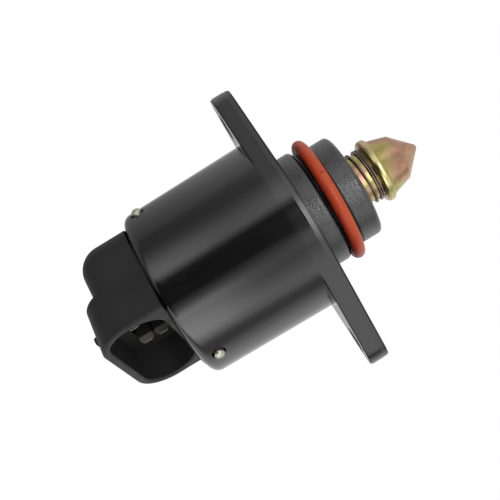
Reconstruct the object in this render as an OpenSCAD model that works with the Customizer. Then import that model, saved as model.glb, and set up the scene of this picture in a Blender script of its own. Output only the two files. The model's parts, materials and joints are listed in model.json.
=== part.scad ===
// Idle air control valve: a small linear stepper motor in a flanged housing, which moves a pintle.
// The origin is the centre of the flange's front face. The pintle points along +Z,
// and the longer ear of the flange points along +X.

/* [Can] */
// Diameter of the can where it meets the flange
can_front_d = 35; // [34.4:0.1:37]
// Amount by which the can's diameter is less at its rear end
can_taper = 0.74; // [0:0.02:1.4]
// Length of the can behind the flange
can_length = 26.1; // [23:0.1:32]
// Thickness of the can's wall at its rear end
can_wall = 2.1; // [1.6:0.05:2.4]
// Radius of the can's outer rear edge
can_edge_r = 1.9; // [0.5:0.1:2.1]
// Depth of the wall between the can's cavity and the flange's front face
bulkhead_t = 2.4; // [1.6:0.1:3]

/* [Flange] */
// Thickness of the flange
flange_t = 3.9; // [3:0.1:6]
// Distance from the can's side to the middle of the longer ear's round end
long_ear_reach = 8.15; // [6:0.05:12]
// Radius of the longer ear's round end
long_ear_r = 5.5; // [4.8:0.1:6.5]
// Distance from the can's side to the middle of the shorter ear's round end
short_ear_reach = 4.3; // [4:0.05:12]
// Radius of the shorter ear's round end
short_ear_r = 6.05; // [4.8:0.05:6.5]
// Diameter of the two bolt holes
bolt_hole_d = 5.4; // [4.2:0.1:6]
// Depth of the parting line behind the flange's front face
parting_depth = 1.2; // [0.6:0.1:2]
// Amount by which the edge steps in ahead of the parting line
parting_step = 0.08; // [0.05:0.01:0.3]
// Radius of the flange's front and rear edges
flange_edge = 0.3; // [0.1:0.05:0.5]

/* [Snout] */
// Diameter of the snout beside the flange
snout_rear_d = 23.2; // [22:0.1:25]
// Height of that shoulder above the flange
shoulder_h = 3.85; // [3:0.05:5]
// Width of the O-ring groove
groove_w = 3.3; // [2.9:0.05:4]
// Depth of the groove below the shoulder
groove_depth = 1.35; // [1.2:0.05:1.8]
// Amount by which the snout's radius is less ahead of the groove
front_step = 1.15; // [0.6:0.05:1.2]
// Height of the snout above the flange
snout_h = 11.2; // [9.5:0.1:13]
// Diameter of the snout's front bore
front_bore_d = 11.8; // [11.6:0.1:13]
// Radius of the snout's front edge
snout_edge_r = 0.9; // [0.3:0.1:1.2]
// Thickness of the O-ring
o_ring_t = 2.4; // [2:0.1:2.8]
// Angle by which the O-ring leans in its groove
o_ring_tilt = 1.4; // [0:0.1:2]

/* [Pintle] */
// Height of the rim's rear face above the flange with the valve at rest
rim_z = 15.2; // [14.6:0.1:18]
// Diameter of the rim
rim_d = 12.98; // [12.4:0.02:14]
// Thickness of the rim
rim_t = 1.8; // [1.6:0.1:2.4]
// Diameter of the first cone where it leaves the rim
cone_base_d = 11.6; // [10:0.1:12.2]
// Diameter at the edge between the two cones
cone_edge_d = 9.15; // [8:0.05:9.8]
// Length of the first cone
cone_length = 4; // [3:0.1:6]
// Half angle of the second cone
tip_angle = 46; // [35:1:55]
// Radius of the tip
tip_r = 0.8; // [0.4:0.1:1.2]
// Diameter of the skirt inside the spring
skirt_d = 9.7; // [9.2:0.1:9.9]
// Length of the skirt behind the rim
skirt_length = 5.6; // [4:0.1:5.8]
// Thickness of the spring's wire
wire_d = 0.48; // [0.4:0.02:0.6]
// Clearance of the spring round the skirt, on the radius
spring_gap = 0.12; // [0.1:0.01:0.2]
// Free turns of the spring between its closed ends
spring_turns = 6; // [4:0.5:8]
// Closed turns at each end of the spring
closed_turns = 1.35; // [0.5:0.05:1.5]

/* [Lead screw] */
// Diameter of the lead screw
screw_d = 4.8; // [4:0.1:5.2]
// Width across the lead screw's two flats
screw_flats = 4; // [3.4:0.1:4.4]
// Length of the lead screw behind the pintle's skirt
screw_length = 24.6; // [23:0.1:25]
// Running clearance of turning and sliding fits, on the radius
running_gap = 0.06; // [0.02:0.01:0.09]
// Thickness of the screw guide's head
guide_t = 1.6; // [1.2:0.1:1.8]

/* [Bearing] */
// Outer diameter of the ball bearing
bearing_d = 16; // [15.5:0.1:17]
// Bore of the ball bearing
bearing_bore = 8; // [7.6:0.1:8.4]
// Width of the ball bearing
bearing_w = 5; // [4:0.1:5.5]
// Diameter of a ball
ball_d = 2.4; // [2:0.1:2.6]
// Number of balls
ball_count = 9; // [7:1:10]
// Thickness of the wall that the bearing seats against
web_t = 0.8; // [0.6:0.1:1.2]

/* [Rotor] */
// Diameter of the rotor's magnet, as a share of the can's cavity
magnet_share = 0.519; // [0.45:0.001:0.53]
// Diameter of the hub, as a share of the magnet
hub_share = 0.628; // [0.58:0.002:0.7]
// Diameter of the hub's rear journal
journal_d = 4.8; // [4:0.1:5.2]
// Length of the hub that carries the nut's thread
thread_length = 9; // [7:0.5:10]
// Thickness of the wave washer
wave_t = 0.25; // [0.15:0.05:0.4]
// Wall of the rear bush
bush_wall = 1.6; // [1.2:0.1:2]
// Depth of the rear bush in the cap
bush_depth = 3.6; // [3:0.1:4.2]

/* [Stator] */
// Number of claws on each cup
claw_count = 6; // [4:1:8]
// Thickness of a claw
claw_t = 0.85; // [0.6:0.05:1]
// Air gap between the magnet and the claws
air_gap = 0.35; // [0.3:0.05:0.6]
// Thickness of the cups' sheet steel
sheet_t = 1; // [0.8:0.1:1.2]
// Thickness of the bobbins' plastic
bobbin_t = 0.7; // [0.5:0.1:0.9]
// Thickness of the coil wire
coil_wire = 0.4; // [0.3:0.05:0.5]

/* [End cap] */
// Length of the cap's spigot inside the can
spigot_length = 7.6; // [7.2:0.1:9]
// Thickness of the spigot's wall
spigot_wall = 2.6; // [2.4:0.1:3.2]
// Thickness of the cap's disc
disc_t = 2.6; // [2:0.1:3]
// Clearance of parts that are pushed together, on the radius
push_gap = 0.05; // [0.02:0.01:0.1]
// Thickness of the cap's seal
seal_t = 1.3; // [1.2:0.05:1.5]
// Diameter of the retaining pins
pin_d = 2; // [1.8:0.1:2.3]
// Diameter of the pin holes in the can
pin_hole_d = 2.8; // [2.6:0.1:3.2]
// Distance of the pins from the can's rear end
pin_inset = 3.55; // [3.2:0.05:3.8]
// Height of a pin's round head above the can
pin_head = 0.95; // [0.2:0.05:1.2]
// Direction of the first of the three pins, about the axis
pin_turn = -159.5; // [-170:0.5:-150]

/* [Socket] */
// Direction that the plug socket opens in, about the axis
socket_turn = -26; // [-40:1:-10]
// Length of the socket's opening across the can
socket_w = 28; // [26:0.1:30]
// Height of the socket's opening along the axis
socket_h = 11.2; // [10:0.1:12.5]
// Thickness of the socket's wall
socket_wall = 1.5; // [1.1:0.05:1.8]
// Distance from the axis to the socket's mouth
mouth_x = 8.5; // [7.5:0.1:11]
// Distance from the axis to the socket's rear step, negative past the axis
step_x = -1.1; // [-2:0.1:0]
// Amount by which the socket's outside draws in at the step
socket_draft = 0.62; // [0:0.02:0.8]
// Distance from the axis to the socket's floor
floor_x = 1.1; // [0.8:0.1:1.8]
// Depth of the pocket round the blades, below the socket's floor
pocket_depth = 4.2; // [2:0.1:5]
// Radius of the mouth's rim
rim_round = 0.6; // [0.3:0.05:0.7]
// Radius of the step behind the socket
step_round = 0.8; // [0.3:0.1:2]
// Distance from the axis to the block's far side
block_x = 10.9; // [9.8:0.1:12]
// Radius of the block's far corners
block_corner = 5; // [2:0.1:5.5]
// Depth of the block behind the can
block_depth = 11; // [10.6:0.1:12.5]
// Radius of the block's rear edges
block_round = 4.8; // [1.5:0.1:5]
// Width of the latch ramp on the socket
latch_w = 5; // [3:0.1:8]
// Height of the latch ramp
latch_h = 1.75; // [1:0.05:2.4]
// Width of a terminal blade
blade_w = 2.8; // [2:0.05:3]
// Thickness of a terminal blade
blade_t = 0.8; // [0.6:0.05:1]
// Height of the blades' tips above the socket's floor
blade_reach = 2.8; // [2:0.1:5]
// Length of the bevels on a blade's tip
blade_bevel = 1.3; // [0.4:0.1:1.6]
// Distance between two blades along the axis
blade_pitch = 3.4; // [3.2:0.1:4]
// Distance between the two pairs of blades
pair_pitch = 8; // [7:0.1:10]

/* [Hidden] */
$fn = 96;
// Overshoot of a cut past the face that it opens
cut = 1;
// Overlap of two cuts that open into each other
lap = 0.01;
// Share of a wall that a round edge may take away at most
edge_limit = 0.9;
// Gap between faces that just clear each other
clear_gap = 0.1;
// Gap between turning parts and what stands beside them
side_gap = 0.35;
// Amount by which the flange's tangent lines lie inside the rounds that they join
line_tuck = 0.002;

// Levels and radii of the housing
can_front_r = can_front_d / 2;
can_rear_r = can_front_r - can_taper / 2;
long_ear_x = can_front_r + long_ear_reach;
short_ear_x = can_front_r + short_ear_reach;
can_rear_z = -(flange_t + can_length);
cavity_r = can_rear_r - can_wall;
cavity_front_z = -bulkhead_t;
spigot_front_z = can_rear_z + spigot_length;
snout_rear_r = snout_rear_d / 2;
snout_front_r = snout_rear_r - front_step;
groove_floor_r = snout_rear_r - groove_depth;
groove_front_z = shoulder_h + groove_w;
shoulder_round_limit = 1;
shoulder_round = min(shoulder_round_limit, groove_depth * edge_limit);
front_bore_r = front_bore_d / 2;

// Seats of the bearing, the screw guide and the spring
bearing_r = bearing_d / 2;
bearing_bore_r = bearing_bore / 2;
bearing_front_z = cavity_front_z + bearing_w;
bearing_mid_z = cavity_front_z + bearing_w / 2;
web_front_z = bearing_front_z + web_t;
ball_r = ball_d / 2;
ball_path_r = (bearing_r + bearing_bore_r) / 2;
ring_gap_share = 0.72;
ring_gap_r = ball_r * ring_gap_share;
inner_ring_r = ball_path_r - ring_gap_r;
outer_ring_r = ball_path_r + ring_gap_r;
race_gap = 0.08;
race_r = ball_r + race_gap;
web_hole_r = inner_ring_r + 1.5 * clear_gap;
guide_front_z = web_front_z + guide_t;

// O-ring: it leans across its groove, as far as the groove lets it
o_ring_r = o_ring_t / 2;
o_ring_gap = 0.03;
o_ring_path_r = groove_floor_r + o_ring_r + o_ring_gap;
o_ring_z = shoulder_h + groove_w / 2;
o_ring_lean = min(o_ring_tilt, atan((groove_w - o_ring_t - 2 * o_ring_gap) / (2 * o_ring_path_r)));

// Pintle and lead screw
rim_front_z = rim_z + rim_t;
rim_front_round = (rim_d - cone_base_d) / 2;
rim_rear_limit = 0.8;
rim_rear_round = min(rim_rear_limit, rim_t - rim_front_round - clear_gap);
cone_edge_z = rim_front_z + cone_length;
skirt_bevel = 0.4;
skirt_rear_z = rim_z - skirt_length;
screw_r = screw_d / 2;
screw_socket = 7;
screw_front_z = skirt_rear_z + screw_socket;
screw_rear_z = skirt_rear_z - screw_length;
wire_r = wire_d / 2;
spring_path_r = skirt_d / 2 + spring_gap + wire_r;

// Rotor: a collar and a barrel between the bearing and the rear bush, with a journal at each end
magnet_r = cavity_r * magnet_share;
hub_r = magnet_r * hub_share;
journal_r = journal_d / 2;
hub_front_z = bearing_front_z - 2 * clear_gap;
collar_t = bulkhead_t / 2;
collar_rear_z = cavity_front_z - collar_t;
magnet_front_z = collar_rear_z - collar_t / 2;
bush_flange_t = bush_wall / 2;
wave_lift = 0.35;
hub_rear_z = spigot_front_z + bush_flange_t + wave_t + wave_lift + side_gap;
hub_wall = 0.8;
magnet_rear_z = hub_rear_z + hub_wall;
relief_gap = 0.5;
relief_r = screw_r + relief_gap;
journal_share = 0.8;
journal_rear_z = spigot_front_z - bush_depth * journal_share;
bush_r = journal_r + running_gap + bush_wall;

// Stator: two equal phases between the bulkhead and the cap's spigot
phase_length = (cavity_front_z - spigot_front_z) / 2;
stator_r = cavity_r - push_gap;
claw_in_r = magnet_r + air_gap;
claw_out_r = claw_in_r + claw_t;
claw_clear = 0.8;
claw_length = phase_length - 2 * sheet_t - claw_clear;
pole_angle = 180 / claw_count;
claw_root_share = 0.82;
claw_tip_share = 0.55;
claw_root_w = 2 * claw_in_r * sin(pole_angle / 2) * claw_root_share;
claw_tip_w = claw_root_w * claw_tip_share;
sleeve_r = stator_r - sheet_t;
bobbin_in_r = claw_out_r + push_gap;
coil_in_r = bobbin_in_r + bobbin_t;
bobbin_out_r = sleeve_r - 2 * clear_gap;
coil_out_r = bobbin_out_r - bobbin_t / 2;
bobbin_length = phase_length - 2 * sheet_t;
coil_length = bobbin_length - 2 * bobbin_t;

// End cap
spigot_r = cavity_r - push_gap;
spigot_in_r = spigot_r - spigot_wall;
slot_gap = 0.02;
seal_r = seal_t / 2;
seal_path_r = cavity_r - seal_r - slot_gap;
seal_groove_share = 1.3;
seal_groove_w = seal_t * seal_groove_share;
seal_land = 0.7;
seal_z = spigot_front_z - seal_land - seal_groove_w / 2;
boss_wall = bush_wall;
boss_r = bush_r + boss_wall;
pin_r = pin_d / 2;
pin_z = can_rear_z + pin_inset;
pin_depth_share = 0.85;
pin_tip_r = spigot_r - spigot_wall * pin_depth_share;
pin_angles = [for (i = [0:2]) pin_turn + i * 120];

// Socket: its frame has X along the way it opens, Y across it and Z along the valve's axis
socket_out_r = socket_h / 2 + socket_wall;
socket_in_r = socket_h / 2;
socket_run = socket_w - socket_h;
socket_half_w = socket_w / 2 + socket_wall;
cap_front_z = can_rear_z - clear_gap;
// The cap's disc stands proud of the block by this much
disc_lip = 0.15;
socket_z = cap_front_z - socket_out_r;
block_rear_z = can_rear_z - block_depth;
block_w = 2 * (socket_half_w - socket_draft);
block_edge_r = min(block_round, block_corner - clear_gap);
// The block ends inside the socket's wall
block_front_x = 2;
blade_tip_x = floor_x + blade_reach;
// The blades stand nearer the can than the middle of the socket
blade_shift = 0.9;
blade_mid_z = socket_z + blade_shift;
// The pocket clears the blades by this much
pocket_gap = 0.6;
pocket_r = (blade_pitch + blade_w) / 2 + pocket_gap;
pocket_end = pocket_r - sqrt(pow(pocket_r, 2) - pow(pocket_r - pocket_gap, 2));
pocket_run = pair_pitch + blade_t + 2 * pocket_gap - 2 * pocket_end;

// Terminals' legs: they stand just clear of the boss round the rear bush
leg_w = 1.2;
leg_gap = 0.9;
leg_step = leg_w + leg_gap;
leg_top_share = 0.2;
leg_top_z = spigot_front_z - spigot_length * leg_top_share;
near_leg_x = sqrt(pow(boss_r + leg_gap / 2, 2) - pow((pair_pitch - blade_t) / 2, 2));

// Flat ring from z0 to z1
module ring(r_in, r_out, z0, z1) {
    translate([0, 0, z0])
        difference() {
            cylinder(r = r_out, h = z1 - z0);
            translate([0, 0, -cut])
                cylinder(r = r_in, h = z1 - z0 + 2 * cut);
        }
}

// Profile tool: what a round edge of radius r takes from the corner at [x, y],
// where the material lies towards -sx and -sy
module edge_cut(x, y, r, sx, sy) {
    translate([x - sx * r, y - sy * r])
        difference() {
            translate([sx > 0 ? 0 : -r - lap, sy > 0 ? 0 : -r - lap])
                square(r + lap);
            circle(r = r);
        }
}

// Outline of the flange: two ears joined to the round middle by tangent lines
function tangent_angle(ear_x, ear_r) = acos((can_front_r - ear_r) / ear_x);

module ear(ear_x, ear_r, inset) {
    turn = tangent_angle(ear_x, ear_r);
    big = can_front_r - inset - line_tuck;
    small = ear_r - inset - line_tuck;
    translate([ear_x, 0])
        circle(r = ear_r - inset);
    polygon([
        [big * cos(turn), big * sin(turn)],
        [ear_x + small * cos(turn), small * sin(turn)],
        [ear_x + small * cos(turn), -small * sin(turn)],
        [big * cos(turn), -big * sin(turn)]
    ]);
}

module flange_outline(inset) {
    circle(r = can_front_r - inset);
    ear(long_ear_x, long_ear_r, inset);
    mirror([1, 0])
        ear(short_ear_x, short_ear_r, inset);
}

module flange_slab(z0, z1, inset) {
    translate([0, 0, z0])
        linear_extrude(z1 - z0)
            flange_outline(inset);
}

module can_profile() {
    edge = min(can_edge_r, can_wall * edge_limit);
    difference() {
        polygon([
            [0, can_rear_z],
            [can_rear_r, can_rear_z],
            [can_rear_r, can_rear_z + edge + clear_gap],
            [can_front_r, -flange_t],
            [can_front_r - 2 * parting_step, -flange_t],
            [can_front_r - 2 * parting_step, -flange_t / 2],
            [0, -flange_t / 2]
        ]);
        edge_cut(can_rear_r, can_rear_z, edge, 1, -1);
    }
}

module snout_profile() {
    difference() {
        polygon([
            [0, -flange_t / 2],
            [snout_rear_r, -flange_t / 2],
            [snout_rear_r, shoulder_h],
            [groove_floor_r, shoulder_h],
            [groove_floor_r, groove_front_z],
            [snout_front_r, groove_front_z],
            [snout_front_r, snout_h],
            [0, snout_h]
        ]);
        edge_cut(snout_rear_r, shoulder_h, shoulder_round, 1, 1);
        edge_cut(snout_front_r, snout_h, snout_edge_r, 1, 1);
    }
}

module housing_bores() {
    // The can's cavity, open at the rear
    translate([0, 0, can_rear_z - cut])
        cylinder(r = cavity_r, h = cavity_front_z - can_rear_z + cut);
    // The bearing's seat, the hole in the web and the front bore
    translate([0, 0, cavity_front_z - cut])
        cylinder(r = bearing_r + push_gap / 2, h = bearing_w + cut);
    translate([0, 0, bearing_front_z - cut])
        cylinder(r = web_hole_r, h = web_t + 2 * cut);
    translate([0, 0, web_front_z])
        cylinder(r = front_bore_r, h = snout_h - web_front_z + cut);
    // The countersunk mouth of the front bore
    sink = 0.6;
    translate([0, 0, snout_h - sink])
        cylinder(r1 = front_bore_r, r2 = front_bore_r + 2 * sink, h = 2 * sink);
    // The bolt holes
    for (x = [long_ear_x, -short_ear_x])
        translate([x, 0, -flange_t - cut])
            cylinder(d = bolt_hole_d, h = flange_t + 2 * cut);
    // The pin holes
    for (turn = pin_angles)
        rotate([0, 0, turn])
            translate([cavity_r - cut, 0, pin_z])
                rotate([0, 90, 0])
                    cylinder(d = pin_hole_d, h = can_wall + 3 * cut);
}

module housing() {
    color([0.16, 0.16, 0.17])
        difference() {
            union() {
                rotate_extrude()
                    can_profile();
                rotate_extrude()
                    snout_profile();
                flange_slab(-flange_t, -flange_t + flange_edge, flange_edge / 2);
                flange_slab(-flange_t + flange_edge, -parting_depth, 0);
                flange_slab(-parting_depth, -flange_edge, parting_step);
                flange_slab(-flange_edge, 0, parting_step + flange_edge / 2);
            }
            housing_bores();
        }
}

// Places what is drawn with Z along the socket's opening direction
module in_socket(run_z) {
    rotate([0, 0, socket_turn])
        translate([0, 0, run_z])
            rotate([0, 90, 0])
                children();
}

// Sweeps a half profile, drawn with x from the middle, round a stadium of the given straight run
module stadium_sweep(run) {
    for (side = [-1, 1])
        translate([0, side * run / 2, 0])
            rotate_extrude()
                children();
    rotate([90, 0, 0])
        translate([0, 0, -run / 2])
            linear_extrude(run) {
                children();
                mirror([1, 0])
                    children();
            }
}

// Half profile of the socket's outside, from its middle to the given half width at the mouth
module shroud_profile(half_w) {
    rear_half_w = half_w - socket_draft;
    difference() {
        polygon([
            [0, step_x],
            [rear_half_w, step_x],
            [rear_half_w, step_x + step_round + clear_gap],
            [half_w, mouth_x],
            [0, mouth_x]
        ]);
        edge_cut(half_w, mouth_x, rim_round, 1, 1);
        edge_cut(rear_half_w, step_x, step_round, 1, -1);
    }
}

// The socket's outside: round towards the rear and square towards the can
module shroud() {
    in_socket(socket_z) {
        stadium_sweep(socket_run)
            shroud_profile(socket_out_r);
        translate([-socket_out_r, 0, 0])
            rotate([90, 0, 90])
                linear_extrude(socket_out_r) {
                    shroud_profile(socket_half_w);
                    mirror([1, 0])
                        shroud_profile(socket_half_w);
                }
    }
}

module socket_cavity() {
    flare = 0.35;
    flare_depth = 2;
    in_socket(socket_z)
        stadium_sweep(socket_run)
            polygon([
                [0, floor_x],
                [socket_in_r - flare, floor_x],
                [socket_in_r, mouth_x - flare_depth],
                [socket_in_r, mouth_x - flare],
                [socket_in_r + flare, mouth_x],
                [socket_in_r + flare, mouth_x + cut],
                [0, mouth_x + cut]
            ]);
    // The pocket round the blades
    in_socket(blade_mid_z)
        stadium_sweep(pocket_run)
            translate([0, floor_x - pocket_depth])
                square([pocket_r, pocket_depth + cut]);
}

// Half profile of the block's rear edge: x runs outwards and y forwards from the rear face
module block_edge(half_w) {
    difference() {
        square([half_w, cap_front_z - block_rear_z]);
        edge_cut(half_w, 0, block_edge_r, 1, -1);
    }
}

// The block that joins the socket to the can, with its far and rear edges rounded
module block() {
    corner_x = block_corner - block_x;
    corner_y = block_w / 2 - block_corner;
    rotate([0, 0, socket_turn])
        translate([0, 0, block_rear_z]) {
            // The far corners and the far edge between them
            for (side = [-1, 1])
                translate([corner_x, side * corner_y, 0])
                    rotate_extrude()
                        block_edge(block_corner);
            translate([corner_x, corner_y, 0])
                rotate([90, 0, 0])
                    linear_extrude(2 * corner_y)
                        mirror([1, 0])
                            block_edge(block_corner);
            // The part between the far edge and the socket
            translate([corner_x, 0, 0])
                rotate([90, 0, 90])
                    linear_extrude(block_front_x - corner_x) {
                        block_edge(block_w / 2);
                        mirror([1, 0])
                            block_edge(block_w / 2);
                    }
        }
}

// The ramp that the plug's latch slides over and drops behind
module latch() {
    out_z = socket_z - socket_out_r;
    catch_x = step_x + 2 * step_round;
    catch_bevel = 0.3;
    flat_w = latch_w / 5;
    ramp_end_x = mouth_x - 2.5;
    rotate([0, 0, socket_turn])
        rotate([90, 0, 0])
            translate([0, 0, -latch_w / 2])
                linear_extrude(latch_w)
                    polygon([
                        [catch_x, out_z + socket_wall],
                        [catch_x, out_z - latch_h + catch_bevel],
                        [catch_x + catch_bevel, out_z - latch_h],
                        [catch_x + catch_bevel + flat_w, out_z - latch_h],
                        [ramp_end_x, out_z],
                        [ramp_end_x, out_z + socket_wall]
                    ]);
}

module spigot() {
    difference() {
        translate([0, 0, cap_front_z - disc_lip])
            cylinder(r = spigot_r, h = spigot_front_z - cap_front_z + disc_lip);
        // The ring-shaped recess between the wall and the boss
        ring(boss_r, spigot_in_r, can_rear_z + disc_t, spigot_front_z + cut);
        // The seal's groove
        translate([0, 0, seal_z])
            ring(seal_path_r - seal_r - slot_gap, spigot_r + cut, -seal_groove_w / 2, seal_groove_w / 2);
    }
}

module end_cap() {
    color([0.13, 0.13, 0.14])
        difference() {
            union() {
                spigot();
                block();
                shroud();
                latch();
            }
            socket_cavity();
            // The rear bush's seat
            translate([0, 0, spigot_front_z - bush_depth])
                cylinder(r = bush_r + push_gap / 2, h = bush_depth + cut);
            // The pins' holes
            for (turn = pin_angles)
                rotate([0, 0, turn])
                    translate([pin_tip_r - clear_gap, 0, pin_z])
                        rotate([0, 90, 0])
                            cylinder(r = pin_r + slot_gap, h = spigot_wall + cut);
            // The terminals' slots
            for (i = [0:3])
                blade(i, slot_gap);
        }
}

// Bent terminal: its blade stands in the socket and its leg runs forward into the spigot's recess.
// Blades 0 and 1 are the near pair, 2 and 3 the far pair.
module blade(i, gap) {
    outer = i % 2;
    side = i < 2 ? -1 : 1;
    mid_z = blade_mid_z + (0.5 - outer) * blade_pitch;
    low = mid_z - blade_w / 2 - gap;
    high = mid_z + blade_w / 2 + gap;
    leg_x = -near_leg_x - outer * leg_step;
    leg_rear_x = leg_x - leg_w - gap;
    half_t = blade_t / 2 + gap;
    tip_share = 0.4;
    tip_half_t = half_t * tip_share;
    tip_cut = blade_w / 5;
    rotate([0, 0, socket_turn])
        translate([0, side * pair_pitch / 2, 0])
            intersection() {
                // Seen along Y: the blade and its leg
                rotate([90, 0, 0])
                    translate([0, 0, -half_t])
                        linear_extrude(2 * half_t)
                            polygon([
                                [leg_rear_x, low],
                                [blade_tip_x - tip_cut, low],
                                [blade_tip_x, low + tip_cut],
                                [blade_tip_x, high - tip_cut],
                                [blade_tip_x - tip_cut, high],
                                [leg_x + gap, high],
                                [leg_x + gap, leg_top_z + gap],
                                [leg_rear_x, leg_top_z + gap]
                            ]);
                // Seen along Z: the bevelled tip
                translate([0, 0, low - cut])
                    linear_extrude(leg_top_z + gap - low + 2 * cut)
                        polygon([
                            [leg_rear_x - cut, -half_t],
                            [blade_tip_x - blade_bevel, -half_t],
                            [blade_tip_x, -tip_half_t],
                            [blade_tip_x, tip_half_t],
                            [blade_tip_x - blade_bevel, half_t],
                            [leg_rear_x - cut, half_t]
                        ]);
            }
}

module terminal_1() { color([0.72, 0.7, 0.66]) blade(0, 0); }
module terminal_2() { color([0.72, 0.7, 0.66]) blade(1, 0); }
module terminal_3() { color([0.72, 0.7, 0.66]) blade(2, 0); }
module terminal_4() { color([0.72, 0.7, 0.66]) blade(3, 0); }

module retaining_pins() {
    // The can's radius where the pins come out of it
    out_r = can_rear_r + (can_front_r - can_rear_r) * pin_inset / can_length;
    dome = out_r + pin_head;
    dome_share = 0.6;
    dome_h = pin_r * dome_share;
    head_base = dome - dome_h;
    dome_r = (pow(pin_r, 2) + pow(dome_h, 2)) / (2 * dome_h);
    color([0.8, 0.78, 0.7])
        for (turn = pin_angles)
            rotate([0, 0, turn])
                translate([0, 0, pin_z])
                    rotate([0, 90, 0])
                        intersection() {
                            translate([0, 0, pin_tip_r])
                                cylinder(r = pin_r, h = dome - pin_tip_r + cut);
                            union() {
                                translate([0, 0, pin_tip_r - cut])
                                    cylinder(r = pin_r + cut, h = head_base - pin_tip_r + cut);
                                translate([0, 0, dome - dome_r])
                                    sphere(r = dome_r);
                            }
                        }
}

module cap_seal() {
    color([0.1, 0.1, 0.1])
        translate([0, 0, seal_z])
            rotate_extrude()
                translate([seal_path_r, 0])
                    circle(r = seal_r);
}

module snout_o_ring() {
    color([0.82, 0.3, 0.15])
        translate([0, 0, o_ring_z])
            rotate([0, o_ring_lean, 0])
                rotate_extrude()
                    translate([o_ring_path_r, 0])
                        circle(r = o_ring_r);
}

module pintle() {
    edge_r = cone_edge_d / 2;
    tip_slope = tan(90 - tip_angle);
    // The tip's ball touches the second cone
    ball_r_mid = tip_r * cos(tip_angle);
    ball_z = cone_edge_z + (edge_r - ball_r_mid) * tip_slope - tip_r * sin(tip_angle);
    color([0.75, 0.62, 0.35])
        difference() {
            rotate_extrude() {
                difference() {
                    polygon([
                        [0, skirt_rear_z],
                        [skirt_d / 2 - skirt_bevel, skirt_rear_z],
                        [skirt_d / 2, skirt_rear_z + skirt_bevel],
                        [skirt_d / 2, rim_z],
                        [rim_d / 2, rim_z],
                        [rim_d / 2, rim_front_z],
                        [cone_base_d / 2, rim_front_z],
                        [edge_r, cone_edge_z],
                        [ball_r_mid, ball_z + tip_r * sin(tip_angle)],
                        [0, ball_z + tip_r * sin(tip_angle)]
                    ]);
                    edge_cut(rim_d / 2, rim_z, rim_rear_round, 1, -1);
                    edge_cut(rim_d / 2, rim_front_z, rim_front_round, 1, 1);
                }
                intersection() {
                    translate([0, ball_z])
                        circle(r = tip_r);
                    translate([0, ball_z])
                        square([tip_r + cut, tip_r + cut]);
                }
            }
            // The hole that the lead screw is pressed into
            translate([0, 0, skirt_rear_z - cut])
                cylinder(r = screw_r + slot_gap, h = screw_socket + cut);
        }
}

module lead_screw() {
    color([0.6, 0.6, 0.62])
        intersection() {
            translate([0, 0, screw_rear_z])
                cylinder(r = screw_r, h = screw_front_z - screw_rear_z);
            translate([-screw_d, -screw_flats / 2, screw_rear_z - cut])
                cube([2 * screw_d, screw_flats, screw_front_z - screw_rear_z + 2 * cut]);
        }
}

// Height of the spring's helix after t turns: closed turns at each end and free turns between them
spring_rear_z = guide_front_z + wire_r + push_gap;
spring_front_z = rim_z - wire_r - push_gap;
closed_rise = wire_d * 1.02;
closed_height = closed_rise * closed_turns;
free_rise = (spring_front_z - spring_rear_z - 2 * closed_height) / spring_turns;
all_turns = spring_turns + 2 * closed_turns;
function helix_z(t) =
    t < closed_turns ? spring_rear_z + closed_rise * t :
    t > all_turns - closed_turns ? spring_front_z - closed_rise * (all_turns - t) :
    spring_rear_z + closed_height + free_rise * (t - closed_turns);

module pintle_spring() {
    rings_per_turn = 20;
    sides = 8;
    rings = round(all_turns * rings_per_turn);
    // Direction of the wire's front end, about the axis
    last_turn = -20;
    first_turn = last_turn - 360 * all_turns;
    points = [
        for (i = [0:rings])
            let (t = all_turns * i / rings, turn = first_turn + 360 * t)
                for (k = [0:sides - 1])
                    let (roll = 360 * k / sides, r = spring_path_r + wire_r * cos(roll))
                        [r * cos(turn), r * sin(turn), helix_z(t) + wire_r * sin(roll)]
    ];
    tube_faces = [
        for (i = [0:rings - 1])
            for (k = [0:sides - 1])
                let (a = i * sides + k, b = i * sides + (k + 1) % sides)
                    [a, b, b + sides, a + sides]
    ];
    end_faces = [
        [for (k = [sides - 1:-1:0]) k],
        [for (k = [0:sides - 1]) rings * sides + k]
    ];
    color([0.3, 0.28, 0.27])
        polyhedron(points, concat(tube_faces, end_faces));
}

module screw_guide() {
    tail_r = web_hole_r - push_gap;
    color([0.85, 0.83, 0.76])
        difference() {
            union() {
                translate([0, 0, web_front_z])
                    cylinder(r = front_bore_r - push_gap, h = guide_t);
                translate([0, 0, bearing_front_z + clear_gap])
                    cylinder(r = tail_r, h = web_t);
            }
            intersection() {
                translate([0, 0, bearing_front_z - cut])
                    cylinder(r = screw_r + running_gap, h = web_t + guide_t + 2 * cut);
                translate([-screw_d, -screw_flats / 2 - running_gap, bearing_front_z - 2 * cut])
                    cube([2 * screw_d, screw_flats + 2 * running_gap, web_t + guide_t + 4 * cut]);
            }
        }
}

module race_groove() {
    translate([0, 0, bearing_mid_z])
        rotate_extrude()
            translate([ball_path_r, 0])
                circle(r = race_r);
}

module bearing_outer_ring() {
    color([0.66, 0.67, 0.69])
        difference() {
            ring(outer_ring_r, bearing_r, cavity_front_z, bearing_front_z);
            race_groove();
        }
}

module bearing_inner_ring() {
    color([0.66, 0.67, 0.69])
        difference() {
            ring(bearing_bore_r, inner_ring_r, cavity_front_z, bearing_front_z);
            race_groove();
        }
}

module bearing_balls() {
    color([0.8, 0.8, 0.82])
        for (i = [0:ball_count - 1])
            rotate([0, 0, i * 360 / ball_count])
                translate([ball_path_r, 0, bearing_mid_z])
                    sphere(r = ball_r);
}

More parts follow.
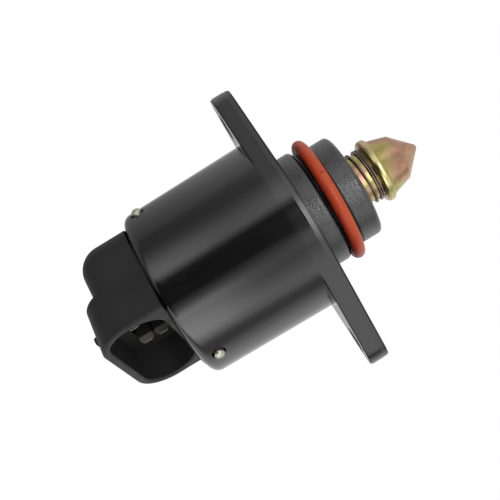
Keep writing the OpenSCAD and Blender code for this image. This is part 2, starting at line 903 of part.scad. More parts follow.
module bearing_cage() {
    cage_half = ring_gap_r - 3 * clear_gap;
    ball_pocket_r = ball_r + running_gap;
    color([0.55, 0.42, 0.28])
        difference() {
            ring(ball_path_r - cage_half, ball_path_r + cage_half,
                bearing_mid_z - ball_r / 2, bearing_mid_z + 4 / 3 * ball_r);
            for (i = [0:ball_count - 1])
                rotate([0, 0, i * 360 / ball_count])
                    translate([ball_path_r, 0, bearing_mid_z])
                        sphere(r = ball_pocket_r);
        }
}

module rotor_magnet() {
    color([0.22, 0.21, 0.21])
        ring(hub_r + slot_gap, magnet_r, magnet_rear_z, magnet_front_z);
}

module rotor_hub() {
    color([0.3, 0.32, 0.34])
        difference() {
            union() {
                // The journal in the bearing's bore
                translate([0, 0, cavity_front_z - cut])
                    cylinder(r = bearing_bore_r - slot_gap, h = hub_front_z - cavity_front_z + cut);
                // The collar behind the inner ring and the barrel under the magnet
                translate([0, 0, collar_rear_z])
                    cylinder(r = inner_ring_r - clear_gap, h = collar_t);
                translate([0, 0, hub_rear_z])
                    cylinder(r = hub_r, h = collar_rear_z - hub_rear_z);
                // The rear journal
                translate([0, 0, journal_rear_z])
                    cylinder(r = journal_r, h = hub_rear_z - journal_rear_z + cut);
            }
            // The nut's bore and the wider relief behind it
            translate([0, 0, hub_front_z - thread_length])
                cylinder(r = screw_r + running_gap, h = thread_length + cut);
            translate([0, 0, hub_rear_z + hub_wall])
                cylinder(r = relief_r, h = hub_front_z - thread_length - hub_rear_z - hub_wall + lap);
        }
}

module rear_bush() {
    color([0.72, 0.52, 0.3])
        difference() {
            union() {
                translate([0, 0, spigot_front_z - bush_depth + clear_gap])
                    cylinder(r = bush_r, h = bush_depth - clear_gap);
                translate([0, 0, spigot_front_z])
                    cylinder(r = boss_r, h = bush_flange_t);
            }
            translate([0, 0, spigot_front_z - bush_depth - cut])
                cylinder(r = journal_r + running_gap, h = bush_depth + bush_flange_t + 2 * cut);
        }
}

// A flat spring ring whose height waves three times round
module wave_washer() {
    segments = 48;
    r_in = journal_r + side_gap;
    r_out = hub_r - side_gap;
    low_z = spigot_front_z + bush_flange_t + slot_gap;
    function wave_z(i) = low_z + wave_lift / 2 * (1 - cos(3 * i * 360 / segments));
    function spot(r, i, lift) = [
        r * cos(i * 360 / segments), r * sin(i * 360 / segments), wave_z(i) + lift
    ];
    points = [
        for (i = [0:segments - 1])
            each [spot(r_in, i, 0), spot(r_out, i, 0), spot(r_out, i, wave_t), spot(r_in, i, wave_t)]
    ];
    faces = [
        for (i = [0:segments - 1])
            let (a = 4 * i, b = 4 * ((i + 1) % segments))
                for (k = [0:3])
                    let (n = (k + 1) % 4)
                        each [[a + k, a + n, b + n], [a + k, b + n, b + k]]
    ];
    color([0.7, 0.7, 0.72])
        polyhedron(points, faces);
}

// Claws of one cup: tapered teeth bent from the plate's inner edge, pointing along +Z from z = 0
module claws(turn) {
    intersection() {
        ring(claw_in_r, claw_out_r, -sheet_t / 2, claw_length);
        for (i = [0:claw_count - 1])
            rotate([0, 0, turn + i * 360 / claw_count])
                rotate([90, 0, 90])
                    linear_extrude(claw_out_r + cut)
                        polygon([
                            [-claw_root_w / 2, -sheet_t],
                            [claw_root_w / 2, -sheet_t],
                            [claw_root_w / 2, 0],
                            [claw_tip_w / 2, claw_length + cut],
                            [-claw_tip_w / 2, claw_length + cut],
                            [-claw_root_w / 2, 0]
                        ]);
    }
}

// Cup with the outer sleeve: its plate lies from z = -sheet_t to 0
module shell_cup(hole_r, turn) {
    ring(hole_r, stator_r, -sheet_t, 0);
    ring(sleeve_r, stator_r, -cut / 2, phase_length - 2 * sheet_t);
    claws(turn);
}

// Plate without a sleeve: it lies from z = -sheet_t to 0
module pole_cup(turn) {
    ring(claw_in_r, stator_r, -sheet_t, 0);
    claws(turn);
}

bearing_lip = 0.6;
shell_hole_r = min(claw_in_r, bearing_r - bearing_lip);
phase_shift = pole_angle / 2;

module stator_shell_front() {
    color([0.62, 0.64, 0.66])
        translate([0, 0, cavity_front_z - sheet_t])
            mirror([0, 0, 1])
                shell_cup(shell_hole_r, 0);
}

module pole_plate_front() {
    color([0.62, 0.64, 0.66])
        translate([0, 0, cavity_front_z - phase_length + sheet_t])
            pole_cup(pole_angle);
}

module pole_plate_rear() {
    color([0.58, 0.6, 0.62])
        translate([0, 0, spigot_front_z + phase_length - sheet_t])
            mirror([0, 0, 1])
                pole_cup(phase_shift);
}

module stator_shell_rear() {
    color([0.58, 0.6, 0.62])
        translate([0, 0, spigot_front_z + sheet_t])
            shell_cup(claw_in_r, phase_shift + pole_angle);
}

// Bobbin and coil of the phase whose rear end is at z0
module bobbin(z0) {
    low = z0 + sheet_t;
    high = low + bobbin_length;
    ring(bobbin_in_r, coil_in_r, low, high);
    ring(bobbin_in_r, bobbin_out_r, low, low + bobbin_t);
    ring(bobbin_in_r, bobbin_out_r, high - bobbin_t, high);
}

module coil(z0) {
    low = z0 + sheet_t + bobbin_t;
    wraps = floor(coil_length / coil_wire);
    rotate_extrude() {
        translate([coil_in_r, low])
            square([coil_out_r - coil_wire / 2 - coil_in_r, coil_length]);
        for (i = [0:wraps - 1])
            translate([coil_out_r - coil_wire / 2, low + (i + 0.5) * coil_length / wraps])
                circle(r = coil_wire / 2);
    }
}

module bobbin_front() { color([0.82, 0.8, 0.72]) bobbin(cavity_front_z - phase_length); }
module bobbin_rear() { color([0.82, 0.8, 0.72]) bobbin(spigot_front_z); }
module coil_front() { color([0.72, 0.38, 0.2]) coil(cavity_front_z - phase_length); }
module coil_rear() { color([0.72, 0.38, 0.2]) coil(spigot_front_z); }

housing();
end_cap();
terminal_1();
terminal_2();
terminal_3();
terminal_4();
retaining_pins();
cap_seal();
snout_o_ring();
pintle();
lead_screw();
pintle_spring();
screw_guide();
bearing_outer_ring();
bearing_inner_ring();
bearing_balls();
bearing_cage();
rotor_magnet();
rotor_hub();
rear_bush();
wave_washer();
stator_shell_front();
pole_plate_front();
pole_plate_rear();
stator_shell_rear();
bobbin_front();
bobbin_rear();
coil_front();
coil_rear();
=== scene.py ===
"""Looks of the idle air control valve: materials, the wound spring, a floor, soft light and a camera."""

import json
import math

import bmesh
import bpy
from mathutils import Matrix, Vector


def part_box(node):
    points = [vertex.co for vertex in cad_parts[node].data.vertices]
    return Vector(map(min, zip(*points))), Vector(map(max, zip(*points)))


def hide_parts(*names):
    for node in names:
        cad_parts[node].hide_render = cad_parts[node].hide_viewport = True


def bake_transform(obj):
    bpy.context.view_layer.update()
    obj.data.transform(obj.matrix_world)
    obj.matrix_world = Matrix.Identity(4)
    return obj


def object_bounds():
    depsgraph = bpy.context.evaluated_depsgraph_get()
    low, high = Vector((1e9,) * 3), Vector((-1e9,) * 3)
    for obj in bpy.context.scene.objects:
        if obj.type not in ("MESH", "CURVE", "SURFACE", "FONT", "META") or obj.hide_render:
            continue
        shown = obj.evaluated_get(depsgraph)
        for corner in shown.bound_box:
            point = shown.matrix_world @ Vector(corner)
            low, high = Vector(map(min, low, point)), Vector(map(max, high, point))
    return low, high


MM = 0.001

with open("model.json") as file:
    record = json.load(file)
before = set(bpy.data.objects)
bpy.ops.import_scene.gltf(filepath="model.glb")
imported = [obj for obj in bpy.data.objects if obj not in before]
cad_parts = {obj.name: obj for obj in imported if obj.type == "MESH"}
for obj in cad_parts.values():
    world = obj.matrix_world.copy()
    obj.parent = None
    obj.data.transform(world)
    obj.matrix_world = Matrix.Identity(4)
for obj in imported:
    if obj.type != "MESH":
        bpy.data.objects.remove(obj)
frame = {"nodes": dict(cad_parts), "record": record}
CAD_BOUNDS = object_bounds()


# Shader helpers

# A value is a number or another node's output. An edge is the two places between which something fades.


def new_tree(name, kind="material"):
    """An empty node tree, of a new material or of the scene's world, and what owns it."""
    owner = bpy.data.materials.new(name) if kind == "material" else bpy.data.worlds.new(name)
    owner.use_nodes = True
    owner.node_tree.nodes.clear()
    return owner, owner.node_tree


def node(tree, kind, values=None, **props):
    """One shader node, with its properties and the values of its inputs."""
    made = tree.nodes.new(kind)
    for name, value in props.items():
        setattr(made, name, value)
    for key, value in (values or {}).items():
        if isinstance(value, bpy.types.NodeSocket):
            tree.links.new(value, made.inputs[key])
        else:
            made.inputs[key].default_value = value
    return made


def maths(tree, operation, a, b=0.0, c=0.0):
    return node(tree, "ShaderNodeMath", {0: a, 1: b, 2: c}, operation=operation).outputs[0]


def times(tree, product, *factors):
    for factor in factors:
        product = maths(tree, "MULTIPLY", product, factor)
    return product


def plus(tree, base, value, gain=1.0):
    """The base and gain times the value."""
    return maths(tree, "MULTIPLY_ADD", value, gain, base)


def diagonal(tree, a, b):
    """Length of the diagonal of an a by b rectangle."""
    return maths(tree, "SQRT", plus(tree, times(tree, b, b), a, a))


def mix_values(tree, share, a, b):
    """a where share is 0 and b where it is 1."""
    return plus(tree, a, share, maths(tree, "SUBTRACT", b, a))


def remap(tree, value, low, high, to_low=0.0, to_high=1.0, smooth=True):
    """to_low up to low, to_high from high on, and a smooth or straight run between them."""
    values = {"Value": value, "From Min": low, "From Max": high, "To Min": to_low, "To Max": to_high}
    kind = "SMOOTHSTEP" if smooth else "LINEAR"
    return node(tree, "ShaderNodeMapRange", values, interpolation_type=kind, clamp=True).outputs[0]


def band(tree, value, fade_in, fade_out):
    """1 between the two edges and 0 outside them."""
    return times(tree, remap(tree, value, *fade_in), remap(tree, value, *fade_out, 1, 0))


def vectors(tree, operation, a, b=(0, 0, 0), output="Vector"):
    return node(tree, "ShaderNodeVectorMath", {0: a, 1: b}, operation=operation).outputs[output]


def xyz(tree, vector):
    return node(tree, "ShaderNodeSeparateXYZ", {0: vector}).outputs


def position(tree):
    """The point on the part in millimetres, in the part's own frame."""
    coords = node(tree, "ShaderNodeTexCoord").outputs["Object"]
    return vectors(tree, "MULTIPLY", coords, (1 / MM, 1 / MM, 1 / MM))


def noise(tree, point, size_mm, detail=3, rough=0.55, stretch=(1, 1, 1)):
    """Noise whose lumps are about size_mm across, drawn out along an axis by stretch."""
    squeezed = vectors(tree, "MULTIPLY", point, tuple(1 / s for s in stretch))
    values = {"Vector": squeezed, "Scale": 1 / size_mm, "Detail": detail, "Roughness": rough}
    return node(tree, "ShaderNodeTexNoise", values).outputs["Fac"]


# Noise lies mostly between these two values
NOISE_RANGE = (0.3, 0.7)


def spread(tree, fac, low=0.0, high=1.0):
    """Noise, spread over low to high."""
    return remap(tree, fac, *NOISE_RANGE, low, high, smooth=False)


def rgba(colour):
    return (*colour, 1.0)


# Sockets of the Mix node where it mixes colours
MIX_A = 6
MIX_B = 7
MIX_RESULT = 2


def blend_colour(tree, share, a, b):
    """Colour a where share is 0 and b where it is 1. A colour is three numbers or another node's output."""
    a, b = (rgba(colour) if isinstance(colour, tuple) else colour for colour in (a, b))
    made = node(tree, "ShaderNodeMix", {0: share, MIX_A: a, MIX_B: b}, data_type="RGBA")
    return made.outputs[MIX_RESULT]


def ramp(tree, value, stops):
    """A straight colour ramp. A stop is a place from 0 to 1 and a colour."""
    made = node(tree, "ShaderNodeValToRGB", {0: value})
    elements = made.color_ramp.elements
    while len(elements) < len(stops):
        elements.new(0.5)
    for element, (place, colour) in zip(elements, stops):
        element.position = place
        element.color = rgba(colour)
    return made.outputs["Color"]


def bump(tree, height, depth_mm, normal=None):
    """The normal on a relief of this depth, which may lie on another relief."""
    values = {"Height": height, "Strength": 1.0, "Distance": depth_mm * MM}
    if normal is not None:
        values["Normal"] = normal
    return node(tree, "ShaderNodeBump", values).outputs["Normal"]


def finish_material(material, tree, values):
    """Ends a material with a principled shader that has these values."""
    shader = node(tree, "ShaderNodeBsdfPrincipled", values)
    node(tree, "ShaderNodeOutputMaterial", {"Surface": shader.outputs[0]})
    return material


def mix_shaders(tree, share, a, b):
    return node(tree, "ShaderNodeMixShader", {0: share, 1: a, 2: b}).outputs[0]


# Black casting

# Edges in mm along the valve's axis from the flange's front face, and the can's side in mm from the axis.
# The parting line is the rear end of a machined strip.
SNOUT_EDGE = (0.05, 0.35)
PARTING_EDGE = (-1.3, -1.1)
O_RING_GROOVE = ((3.3, 3.55), (7.0, 7.2))
SNOUT_SEAM = ((-0.4, -0.2), (0.1, 0.3))
FLANGE_REAR = ((-4.0, -3.93), (-3.85, -3.65))
CAN_SIDE = (17.55, 18.0)

# Colours, dark and light
COAT_COLOURS = ((0.0045, 0.0042, 0.0045), (0.009, 0.0085, 0.0088))
MACHINED_COLOURS = ((0.004, 0.004, 0.0042), (0.022, 0.022, 0.023))
CAST_COLOURS = ((0.008, 0.008, 0.0085), (0.05, 0.05, 0.052))
# Painted shade, laid on the groove, the seam and the flange's rear face
PAINTED_SHADE_COLOUR = (0.006, 0.006, 0.006)

# How strong the painted shade is at the seam and on the flange's rear face next to the groove's 1, and the
# coat's IOR where the painted shade is 0 and where it is 1
SEAM_PAINTED_SHADE = 0.75
REAR_PAINTED_SHADE = 1.48
COAT_IOR = (1.7, 1.26)

# Roughness, or its lowest and highest
CAN_ROUGH = (0.1, 0.14)
STRIP_ROUGH = 0.3
SNOUT_ROUGH = (0.24, 0.36)

# Depths of the reliefs in mm
GRAIN_DEPTH = 0.02
LUMP_DEPTH = 0.003
LEAN_DEPTH = 0.09

# Start and end of the strip's lean along the axis, and its height at each
STRIP_LEAN = (-1.2, 0, 0, -1.2)


def black_casting():
    """Satin black coat: smooth on the can and the flange, grainy and greyer on the snout, with painted shade
    in the groove.
    """
    material, tree = new_tree("satin_black_casting")
    point = position(tree)
    at = xyz(tree, point)
    snout = remap(tree, at["Z"], *SNOUT_EDGE)
    strip = remap(tree, at["Z"], *PARTING_EDGE)
    streaks = noise(tree, point, size_mm=1.6, detail=4, rough=0.6, stretch=(1, 1, 14))
    marks = noise(tree, point, size_mm=0.3, detail=2, rough=0.6, stretch=(12, 12, 1))
    grain = spread(tree, noise(tree, point, size_mm=0.34, detail=2, rough=0.6))
    lumps = noise(tree, point, size_mm=1.2)

    # Painted shade: darker, duller coat in the O-ring's groove, at the snout's seam, on the flange's rear
    # face
    outside = remap(tree, diagonal(tree, at["X"], at["Y"]), *CAN_SIDE)
    rear = times(tree, band(tree, at["Z"], *FLANGE_REAR), outside)
    painted_shade = plus(tree, band(tree, at["Z"], *O_RING_GROOVE), band(tree, at["Z"], *SNOUT_SEAM), SEAM_PAINTED_SHADE)
    painted_shade = plus(tree, painted_shade, rear, REAR_PAINTED_SHADE)

    coat = blend_colour(tree, streaks, *COAT_COLOURS)
    coat = blend_colour(tree, strip, coat, blend_colour(tree, marks, *MACHINED_COLOURS))
    colour = blend_colour(tree, snout, coat, blend_colour(tree, grain, *CAST_COLOURS))
    colour = blend_colour(tree, painted_shade, colour, PAINTED_SHADE_COLOUR)

    rough = mix_values(tree, strip, spread(tree, streaks, *CAN_ROUGH), STRIP_ROUGH)
    rough = mix_values(tree, snout, rough, mix_values(tree, grain, *SNOUT_ROUGH))

    # The machined strip ahead of the parting line leans towards the front
    normal = bump(tree, mix_values(tree, snout, times(tree, marks, strip), grain), GRAIN_DEPTH)
    normal = bump(tree, lumps, LUMP_DEPTH, normal)
    normal = bump(tree, remap(tree, at["Z"], *STRIP_LEAN, smooth=False), LEAN_DEPTH, normal)
    return finish_material(material, tree, {
        "Base Color": colour, "Roughness": rough, "IOR": mix_values(tree, painted_shade, *COAT_IOR), "Normal": normal,
    })


# End cap and the blades in its plug socket

# The socket's direction about the valve's axis, and its place along the axis in mm
SOCKET_TURN = math.radians(26)
SOCKET_Z = -37.2

# In mm: half the straight part of the opening, the edge between inside and wall, and the floor's edge
SOCKET_STRAIGHT = 8.4
SOCKET_WALL = (5.9, 6.3)
SOCKET_FLOOR = (0.9, 1.2)

PLASTIC_COLOURS = ((0.009, 0.009, 0.0092), (0.015, 0.0147, 0.015))
# Painted light: a lighter grey that lifts the shade inside the socket
SOCKET_PAINTED_LIGHT_COLOUR = (0.021, 0.0205, 0.0205)
PLASTIC_ROUGH = (0.42, 0.54)

# Where the painted shade on the blades ends and they turn pale, in mm out along the socket
BLADE_SHADE_END = (2.3, 3.0)
BLADE_PAINTED_SHADE_COLOUR = (0.014, 0.0135, 0.013)
BLADE_TIP_COLOURS = ((0.26, 0.25, 0.23), (0.42, 0.4, 0.37))


def socket_frame(tree, point):
    """The point turned so that X runs out of the plug socket and Y along its opening."""
    values = {"Vector": point, "Angle": SOCKET_TURN}
    return node(tree, "ShaderNodeVectorRotate", values, rotation_type="Z_AXIS").outputs[0]


def inside_socket(tree, point):
    """1 inside the obround socket and 0 on its wall and outside it."""
    at = xyz(tree, socket_frame(tree, point))
    along = maths(tree, "SUBTRACT", maths(tree, "ABSOLUTE", at["Y"]), SOCKET_STRAIGHT)
    across = maths(tree, "SUBTRACT", at["Z"], SOCKET_Z)
    reach = diagonal(tree, maths(tree, "MAXIMUM", along, 0.0), across)
    return times(tree, remap(tree, reach, *SOCKET_WALL, 1, 0), remap(tree, at["X"], *SOCKET_FLOOR))


def black_plastic():
    """Matt moulded plastic with a fine spark texture and faint flow marks, and painted light that greys the
    socket's inside.
    """
    material, tree = new_tree("matt_black_plastic")
    point = position(tree)
    grain = noise(tree, point, size_mm=0.22, detail=2, rough=0.6)
    flow = noise(tree, point, size_mm=3.2, rough=0.5, stretch=(1, 1, 2.2))
    colour = blend_colour(tree, flow, *PLASTIC_COLOURS)
    return finish_material(material, tree, {
        # Painted light inside the socket
        "Base Color": blend_colour(tree, inside_socket(tree, point), colour, SOCKET_PAINTED_LIGHT_COLOUR),
        "Roughness": spread(tree, flow, *PLASTIC_ROUGH),
        "IOR": 1.36,
        "Normal": bump(tree, grain, depth_mm=0.006),
    })


def blade_with_painted_shade():
    """Tin plate, paler at the blade's tip, with painted shade that makes it dull and dark down in the
    socket.
    """
    material, tree = new_tree("tinned_blade_with_painted_shade")
    point = position(tree)
    tip = blend_colour(tree, noise(tree, point, size_mm=0.8, rough=0.6), *BLADE_TIP_COLOURS)
    # Painted shade: the blade darkens and loses its metal look further down in the socket
    unshaded = remap(tree, xyz(tree, socket_frame(tree, point))["X"], *BLADE_SHADE_END)
    colour = blend_colour(tree, unshaded, BLADE_PAINTED_SHADE_COLOUR, tip)
    return finish_material(material, tree, {"Base Color": colour, "Metallic": unshaded, "Roughness": 0.5})


# O-ring on the snout

RING_COLOURS = ((0.4, 0.042, 0.008), (0.53, 0.082, 0.014))
RING_REAR_COLOUR = (0.42, 0.035, 0.01)
DUST_COLOUR = (0.62, 0.2, 0.1)
SCUFF_COLOUR = (0.05, 0.02, 0.02)

# Along the valve's axis in mm, the redder rear side's edge
RING_REAR = (4.7, 6.2)

# The noise at which dust starts and is full, and its share there
DUST_EDGE = (0.62, 0.75)
DUST_SHARE = 0.35

# The scuff's place in mm, how much narrower it is along each axis, its edge in mm and its share
SCUFF_PLACE = (-4.67, -11.4, 5.85)
SCUFF_SHAPE = (1.8, 1.0, 1.0)
SCUFF_EDGE = (0.3, 0.6)
SCUFF_SHARE = 0.85


def orange_rubber():
    """Silicone ring: matt orange-red, redder towards the flange, with dust and one small scuff."""
    material, tree = new_tree("orange_silicone")
    point = position(tree)
    speck = noise(tree, point, size_mm=0.22, detail=2)
    colour = blend_colour(tree, noise(tree, point, size_mm=1.8), *RING_COLOURS)
    colour = blend_colour(tree, remap(tree, xyz(tree, point)["Z"], *RING_REAR), RING_REAR_COLOUR, colour)
    colour = blend_colour(tree, remap(tree, speck, *DUST_EDGE, 0, DUST_SHARE), colour, DUST_COLOUR)
    apart = vectors(tree, "MULTIPLY", vectors(tree, "SUBTRACT", point, SCUFF_PLACE), SCUFF_SHAPE)
    reach = vectors(tree, "LENGTH", apart, output="Value")
    colour = blend_colour(tree, remap(tree, reach, *SCUFF_EDGE, SCUFF_SHARE, 0), colour, SCUFF_COLOUR)
    return finish_material(material, tree, {
        "Base Color": colour, "Roughness": 0.42, "IOR": 1.42, "Normal": bump(tree, speck, depth_mm=0.004),
    })


# Pintle

# Tints of the chromate from olive to pink, each with the cloud's value where it is pure
CHROMATE_TINTS = [
    (0.36, (0.4, 0.35, 0.11)),
    (0.48, (0.5, 0.43, 0.16)),
    (0.56, (0.52, 0.33, 0.2)),
    (0.66, (0.45, 0.23, 0.16)),
]
LARGE_CLOUD_SHARE = 0.75

# Along the valve's axis in mm: the rim's painted highlight, and where the cone turns pinker and by how much
PINTLE_RIM = ((15.6, 15.85), (16.5, 16.8))
RIM_PAINTED_HIGHLIGHT_COLOUR = (0.66, 0.57, 0.3)
RIM_PAINTED_HIGHLIGHT_SHARE = 0.6
CONE_PINK = (17.5, 22.5, 0, 0.1)

TURNING_MARKS_PER_MM = 9


def yellow_plate():
    """Yellow chromate on turned steel: pink and olive clouds, fine turning marks and a painted highlight on
    the rim.
    """
    material, tree = new_tree("yellow_chromate")
    point = position(tree)
    at = xyz(tree, point)
    large = noise(tree, point, size_mm=3.6, detail=2, rough=0.5, stretch=(1, 1, 1.6))
    small = noise(tree, point, size_mm=1.1, rough=0.6)
    cloud = plus(tree, times(tree, large, LARGE_CLOUD_SHARE), small, 1 - LARGE_CLOUD_SHARE)
    cloud = plus(tree, cloud, remap(tree, at["Z"], *CONE_PINK))
    tint = ramp(tree, cloud, CHROMATE_TINTS)
    # Painted highlight: a pale band round the rim
    tint = blend_colour(tree, times(tree, band(tree, at["Z"], *PINTLE_RIM), RIM_PAINTED_HIGHLIGHT_SHARE), tint, RIM_PAINTED_HIGHLIGHT_COLOUR)
    values = {"W": times(tree, at["Z"], TURNING_MARKS_PER_MM), "Scale": 1.0, "Detail": 2}
    turned = node(tree, "ShaderNodeTexNoise", values, noise_dimensions="1D").outputs["Fac"]
    return finish_material(material, tree, {
        "Base Color": tint, "Metallic": 1.0, "Roughness": 0.28, "Normal": bump(tree, turned, depth_mm=0.004),
    })


# Plain materials, and the finish of each slot

# Roughness of the smoothest and the roughest spots as shares of a material's own
METAL_ROUGH = (0.8, 1.25)
MATT_ROUGH = (0.85, 1.15)
# How many times larger than its grain the clouds of a metal's tone are
METAL_CLOUDS = 3


def metal(name, dark, light, rough, size_mm=0.6):
    """Plain plated or ground metal: cloudy tone, uneven polish and a fine grain."""
    material, tree = new_tree(name)
    point = position(tree)
    cloud = noise(tree, point, size_mm=size_mm * METAL_CLOUDS, rough=0.6)
    grain = noise(tree, point, size_mm=size_mm, rough=0.6)
    return finish_material(material, tree, {
        "Base Color": blend_colour(tree, cloud, dark, light),
        "Metallic": 1.0,
        "Roughness": spread(tree, grain, *(rough * share for share in METAL_ROUGH)),
        "Normal": bump(tree, grain, depth_mm=0.003),
    })


def matt(name, dark, light, rough):
    """Plain moulded plastic, rubber or ceramic: cloudy tone and a fine grain."""
    material, tree = new_tree(name)
    point = position(tree)
    cloud = noise(tree, point, size_mm=2)
    grain = noise(tree, point, size_mm=0.5, rough=0.6)
    return finish_material(material, tree, {
        "Base Color": blend_colour(tree, cloud, dark, light),
        "Roughness": spread(tree, grain, *(rough * share for share in MATT_ROUGH)),
        "IOR": 1.5,
        "Normal": bump(tree, grain, depth_mm=0.004),
    })


FINISHES = {
    "black_casting": black_casting(),
    "black_plastic": black_plastic(),
    "orange_rubber": orange_rubber(),
    "yellow_plated_steel": yellow_plate(),
    "plated_steel": metal("zinc_plated_pin", (0.36, 0.35, 0.29), (0.72, 0.7, 0.6), 0.42, 0.3),
    "tinned_brass": blade_with_painted_shade(),
    "spring_steel": metal("drawn_spring_wire", (0.15, 0.115, 0.095), (0.34, 0.27, 0.225), 0.34),
    "bright_steel": metal("ground_steel", (0.45, 0.45, 0.47), (0.62, 0.62, 0.64), 0.25),
    "plated_sheet": metal("zinc_plated_sheet", (0.36, 0.37, 0.38), (0.5, 0.51, 0.52), 0.38),
    "bush_bronze": metal("sintered_bronze", (0.34, 0.18, 0.07), (0.5, 0.29, 0.13), 0.5, 0.3),
    "copper_wire": metal("enamelled_copper", (0.4, 0.12, 0.04), (0.58, 0.2, 0.08), 0.3),
    "black_rubber": matt("black_rubber", (0.018, 0.018, 0.018), (0.035, 0.035, 0.035), 0.5),
    "natural_plastic": matt("natural_nylon", (0.62, 0.58, 0.46), (0.76, 0.73, 0.62), 0.45),
    "brown_plastic": matt("brown_phenolic", (0.2, 0.11, 0.05), (0.32, 0.19, 0.1), 0.5),
    "grey_plastic": matt("grey_moulding", (0.08, 0.088, 0.095), (0.13, 0.14, 0.15), 0.45),
    "magnet_ferrite": matt("ferrite", (0.05, 0.048, 0.048), (0.085, 0.08, 0.08), 0.4),
}


def dress_nodes():
    """Gives every CAD node the finish of its slot in the record."""
    for row in frame["record"]["subparts"]:
        piece = frame["nodes"][row["node"]]
        piece.data.materials.clear()
        piece.data.materials.append(FINISHES[row["material_slot"]])


# Spring

WIRE = 0.48 * MM
WIRE_SIDES = 16
RINGS_PER_TURN = 80
FREE_TURNS = 6
CLOSED_TURNS = 1.35
CLOSED_RISE = WIRE * 1.02
# Direction of the wire's front end, in degrees about the axis
SPRING_END = -20


def spring_path():
    """Points of the wire's middle: closed turns at each end and free turns between them."""
    low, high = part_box("pintle_spring")
    radius = (high.x - low.x) / 2 - WIRE / 2
    bottom = low.z + WIRE / 2
    top = high.z - WIRE / 2
    turns = FREE_TURNS + 2 * CLOSED_TURNS
    closed = CLOSED_RISE * CLOSED_TURNS
    rise = (top - bottom - 2 * closed) / FREE_TURNS
    count = round(turns * RINGS_PER_TURN)
    points = []
    for i in range(count + 1):
        t = turns * i / count
        if t < CLOSED_TURNS:
            z = bottom + CLOSED_RISE * t
        elif t > turns - CLOSED_TURNS:
            z = top - CLOSED_RISE * (turns - t)
        else:
            z = bottom + closed + rise * (t - CLOSED_TURNS)
        turn = math.radians(SPRING_END + 360 * (t - turns))
        points.append(Vector((radius * math.cos(turn), radius * math.sin(turn), z)))
    return points


def tube(name, path, radius, sides, material):
    """A closed tube round a coil's points, as a mesh with smooth sides and flat ends."""
    bm = bmesh.new()
    rings = []
    for point in path:
        out = Vector((point.x, point.y, 0)).normalized()
        rolls = [2 * math.pi * k / sides for k in range(sides)]
        rings.append([
            bm.verts.new(point + out * radius * math.cos(roll) + Vector((0, 0, radius * math.sin(roll))))
            for roll in rolls
        ])
    for a, b in zip(rings, rings[1:]):
        for k in range(sides):
            n = (k + 1) % sides
            bm.faces.new((a[k], a[n], b[n], b[k])).smooth = True
    bm.faces.new(rings[0])
    bm.faces.new(rings[-1])
    bmesh.ops.recalc_face_normals(bm, faces=bm.faces)
    mesh = bpy.data.meshes.new(name)
    bm.to_mesh(mesh)
    bm.free()
    mesh.materials.append(material)
    piece = bpy.data.objects.new(name, mesh)
    bpy.context.scene.collection.objects.link(piece)
    return piece


def wound_spring():
    """The spring of round wire that shows in place of the faceted one."""
    spring = tube("wound_spring", spring_path(), WIRE / 2, WIRE_SIDES, FINISHES["spring_steel"])
    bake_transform(spring)
    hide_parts("pintle_spring")


# Light

# A turn is the angle in radians about the valve's axis from the camera's side towards +X. A height is the
# share of a direction that points along the axis, from -1 right behind the part to 1 right ahead of the tip.

# Panels all round, as (turn in degrees, strength), with a dark gap at the camera
AROUND = [
    (-180, 0.9), (-150, 0.42), (-115, 0.56), (-92, 0.5), (-80, 0.26), (-63, 0.24), (-52, 0.45), (-40, 0.74),
    (-28, 0.84), (-22, 0.3), (-18, 0), (10, 0), (14, 0.14), (22, 0.4), (30, 0.52), (38, 0.5), (50, 0.74),
    (62, 1.12), (72, 1.05), (82, 0.4), (92, 0.34), (102, 0.72), (118, 1), (150, 0.9), (180, 0.9),
]
# The ramp holds the strengths as shares of this one
AROUND_TOP = 2

# The +X side starts here, by turn
X_SIDE = (0.3, 0.5)

# How much more light comes from the rear beside the camera, on the -X side and on the +X side, with its edge
# by height and its outer edge by turn
REAR_GAIN = (1.25, 3.4)
REAR_EDGE = (-0.035, -0.115)
BESIDE_CAMERA = (0.6, 1.45)

# Start and end by height, and the light's share at each: how it fades at the far rear, and how it grows on
# the -X side from behind the part to ahead of it
FAR_REAR_FADE = (-0.3, -0.9, 1, 0.85)
LEFT_SLOPE = (-0.1, 0.04, 0.78, 1.3)

# The outer edge by height of a panel that reaches to right ahead of the tip
TO_THE_END = (2, 3)

# Panels ahead of the flange: strength, edges by turn and edges by height. The first closes the gap at the
# camera, the second is a small bright window further ahead, the third lights the tip and two stand aside.
FRONT_PANELS = [
    (3.6, ((-0.48, -0.13), (0.37, 0.72)), ((0.075, 0.2), (0.3, 0.5))),
    (4.0, ((-0.35, -0.12), (0.12, 0.35)), ((0.2, 0.28), (0.38, 0.5))),
    (0.4, ((-0.5, -0.2), (0.2, 0.5)), ((0.5, 0.75), TO_THE_END)),
    (0.3, ((-1.6, -1.3), (-0.55, -0.4)), ((0.035, 0.06), TO_THE_END)),
    (0.22, ((0.25, 0.45), (1.05, 1.35)), ((0.02, 0.07), TO_THE_END)),
]

# Right ahead of the tip the light is more even: the edge by height, the share of the light that stays and
# the even light on top of it
EVEN_EDGE = (0.4, 0.8)
EVEN_SHARE = 0.4
EVEN_LIGHT = 0.47


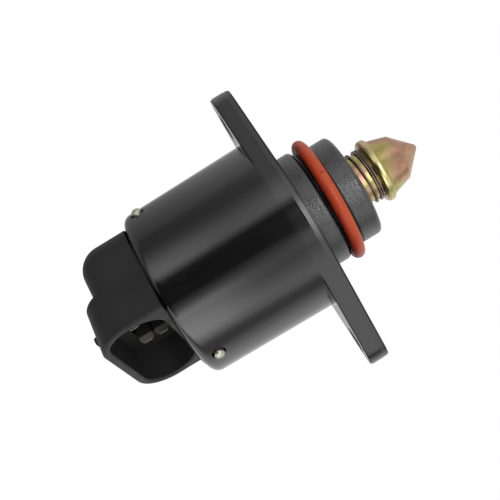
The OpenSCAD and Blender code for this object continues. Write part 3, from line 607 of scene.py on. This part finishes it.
def panels_around(tree, turn, height):
    """Strength of the panels all round, brighter behind the flange beside the camera."""
    share = plus(tree, 0.5, turn, 1 / (2 * math.pi))
    stops = [((degrees + 180) / 360, (strength / AROUND_TOP,) * 3) for degrees, strength in AROUND]
    panels = times(tree, ramp(tree, share, stops), AROUND_TOP)
    side = remap(tree, turn, *X_SIDE)
    beside = remap(tree, maths(tree, "ABSOLUTE", turn), *BESIDE_CAMERA, 1, 0)
    rear = times(tree, remap(tree, height, *REAR_EDGE), beside)
    gain = plus(tree, 1.0, rear, mix_values(tree, side, *REAR_GAIN))
    slope = mix_values(tree, side, remap(tree, height, *LEFT_SLOPE, smooth=False), 1.0)
    return times(tree, panels, gain, remap(tree, height, *FAR_REAR_FADE), slope)


def studio_light(tree, turn, height):
    """Strength of the light from each way."""
    light = panels_around(tree, turn, height)
    for strength, turns, heights in FRONT_PANELS:
        panel = times(tree, band(tree, turn, *turns), band(tree, height, *heights))
        light = plus(tree, light, panel, strength)
    even = plus(tree, EVEN_LIGHT, light, EVEN_SHARE)
    return mix_values(tree, remap(tree, height, *EVEN_EDGE), light, even)


def background(tree, strength):
    return node(tree, "ShaderNodeBackground", {"Strength": strength, "Color": (1, 1, 1, 1)}).outputs[0]


def studio_world():
    """White to the camera, and soft panels to the part."""
    world, tree = new_tree("studio", "world")
    at = xyz(tree, node(tree, "ShaderNodeTexCoord").outputs["Generated"])
    # Ahead of the part the panels' edges run along the axis, and behind it they bend towards the sides
    low = maths(tree, "MINIMUM", at["Z"], 0.0)
    widen = maths(tree, "INVERSE_SQRT", maths(tree, "SUBTRACT", 1.0, times(tree, low, low)))
    turn = maths(tree, "ARCTAN2", at["X"], times(tree, at["Y"], widen, -1.0))
    lit = background(tree, studio_light(tree, turn, at["Z"]))
    seen = node(tree, "ShaderNodeLightPath").outputs["Is Camera Ray"]
    surface = mix_shaders(tree, seen, lit, background(tree, 1.0))
    node(tree, "ShaderNodeOutputWorld", {"Surface": surface})
    bpy.context.scene.world = world


# Floor

FLOOR_DROP = 30 * MM
FLOOR_SIZE = 1.2
FLOOR_COLOUR = (0.9, 0.9, 0.9)
# Share of the floor that glows to the camera, and how strongly
FLOOR_WHITE = 0.9
FLOOR_GLOW = 1.06


def pale_floor():
    """A white floor below the part, which shows faint shadows and is clear to reflections and from below."""
    material, tree = new_tree("pale_floor")
    ray = node(tree, "ShaderNodeLightPath").outputs
    matt_white = node(tree, "ShaderNodeBsdfDiffuse", {"Color": rgba(FLOOR_COLOUR)}).outputs[0]
    glow = node(tree, "ShaderNodeEmission", {"Strength": FLOOR_GLOW}).outputs[0]
    clear = node(tree, "ShaderNodeBsdfTransparent").outputs[0]
    seen = mix_shaders(tree, times(tree, ray["Is Camera Ray"], FLOOR_WHITE), matt_white, glow)
    below = node(tree, "ShaderNodeNewGeometry").outputs["Backfacing"]
    hidden = maths(tree, "MAXIMUM", ray["Is Glossy Ray"], below)
    node(tree, "ShaderNodeOutputMaterial", {"Surface": mix_shaders(tree, hidden, seen, clear)})
    lowest = CAD_BOUNDS[0].z
    bpy.ops.mesh.primitive_plane_add(size=FLOOR_SIZE, location=(0, 0, lowest - FLOOR_DROP))
    floor = bpy.context.object
    floor.name = "floor"
    floor.data.materials.append(material)


# Camera

# It looks along +Y as the photograph's did and is rolled, so that the valve's axis runs up to the right
ROLL = math.radians(31.4)
CAMERA_PLACE = Vector((0.473, -168.2, -12.19)) * MM
SENSOR = 36.0
LENS = 63.47
# Nearest and furthest distance that it sees, in metres
CAMERA_REACH = (0.01, 10)


def photo_camera():
    right = Vector((math.sin(ROLL), 0, math.cos(ROLL)))
    up = Vector((-math.cos(ROLL), 0, math.sin(ROLL)))
    back = right.cross(up)
    data = bpy.data.cameras.new("photo_camera")
    data.sensor_width = SENSOR
    data.lens = LENS
    data.clip_start, data.clip_end = CAMERA_REACH
    camera = bpy.data.objects.new("photo_camera", data)
    turn = Matrix((right, up, back)).transposed().to_4x4()
    camera.matrix_world = Matrix.Translation(CAMERA_PLACE) @ turn
    bpy.context.scene.collection.objects.link(camera)
    bpy.context.scene.camera = camera


dress_nodes()
wound_spring()
studio_world()
pale_floor()
photo_camera()
bpy.context.scene.view_settings.view_transform = "Standard"
